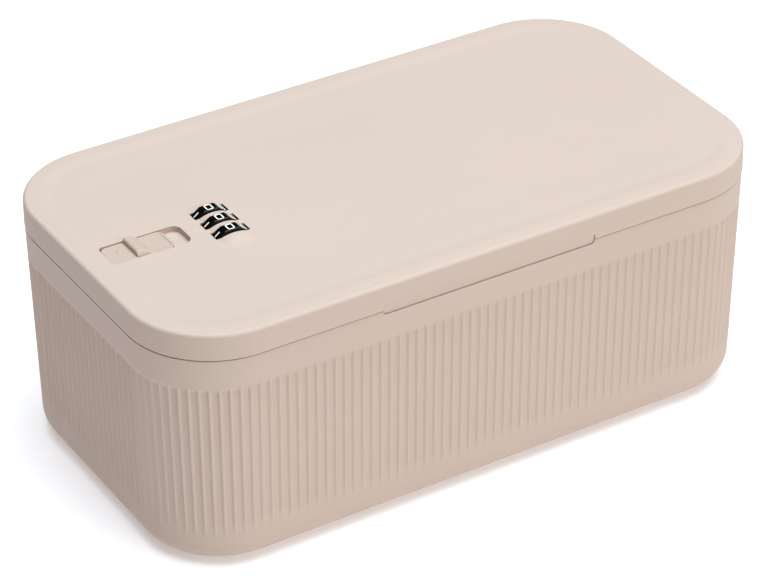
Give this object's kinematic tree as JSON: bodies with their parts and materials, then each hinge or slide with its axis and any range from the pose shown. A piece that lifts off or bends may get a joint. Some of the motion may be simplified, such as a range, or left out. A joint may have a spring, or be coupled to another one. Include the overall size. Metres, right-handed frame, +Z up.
{
  "type": "portable lock box",
  "caption": "Fluted plastic box with rounded corners, a hinged lid with a sunk panel, and a combination lock with dials and a slider in the lid.",
  "frame": {"origin": "centre of the case's base, on the surface that it stands on", "axes": "+X along the length, away from the lock end; +Y to the hinge side; +Z up, towards the lid"},
  "size_m": [0.27, 0.1514, 0.108],
  "materials": {
    "cream_abs": "moulded ABS, fine matt texture",
    "dial_black": "moulded ABS with white printed numbers",
    "zinc_steel": "stamped steel, zinc plated",
    "spring_steel": "spring steel strip",
    "foot_rubber": "soft matt rubber",
    "grey_pom": "acetal"
  },
  "bodies": {
    "case": {"body_shell": "cream_abs", "foot_1": "foot_rubber", "foot_2": "foot_rubber", "foot_3": "foot_rubber", "foot_4": "foot_rubber", "hinge_pin_1": "zinc_steel", "hinge_pin_2": "zinc_steel", "strike_hook": "zinc_steel", "strike_screws": "zinc_steel"},
    "lid": {"lid_shell": "cream_abs", "latch_cover": "cream_abs", "cover_screws": "zinc_steel", "dial_carrier": "cream_abs", "carrier_screws": "zinc_steel", "dial_shaft": "zinc_steel", "shaft_clips": "zinc_steel", "detent_spring": "spring_steel", "detent_screws": "zinc_steel"},
    "slider": {"slider_button": "cream_abs", "latch_plate": "zinc_steel", "slider_screws": "zinc_steel"},
    "dial_1": {"dial_wheel_1": "dial_black", "dial_sleeve_1": "zinc_steel"},
    "dial_2": {"dial_wheel_2": "dial_black", "dial_sleeve_2": "zinc_steel"},
    "dial_3": {"dial_wheel_3": "dial_black", "dial_sleeve_3": "zinc_steel"},
    "reset": {"reset_lever": "grey_pom"}
  },
  "joints": [
    {"name": "lid_hinge", "type": "hinge", "parent": "case", "child": "lid", "pos_m": [0, 0.07405, 0.0956], "axis": [-1, 0, 0], "range_deg": [0, 105]},
    {"name": "lock_slide", "type": "slide", "parent": "lid", "child": "slider", "axis": [1, 0, 0], "range_m": [0, 0.007]},
    {"name": "dial_1_turn", "type": "hinge", "parent": "lid", "child": "dial_1", "pos_m": [-0.0757, -0.00948, 0.09848], "axis": [0, 1, 0], "continuous": true},
    {"name": "dial_2_turn", "type": "hinge", "parent": "lid", "child": "dial_2", "pos_m": [-0.0757, -0.0012, 0.09848], "axis": [0, 1, 0], "continuous": true},
    {"name": "dial_3_turn", "type": "hinge", "parent": "lid", "child": "dial_3", "pos_m": [-0.0757, 0.00708, 0.09848], "axis": [0, 1, 0], "continuous": true},
    {"name": "reset_slide", "type": "slide", "parent": "lid", "child": "reset", "axis": [1, 0, 0], "range_m": [0, 0.003]}
  ]
}
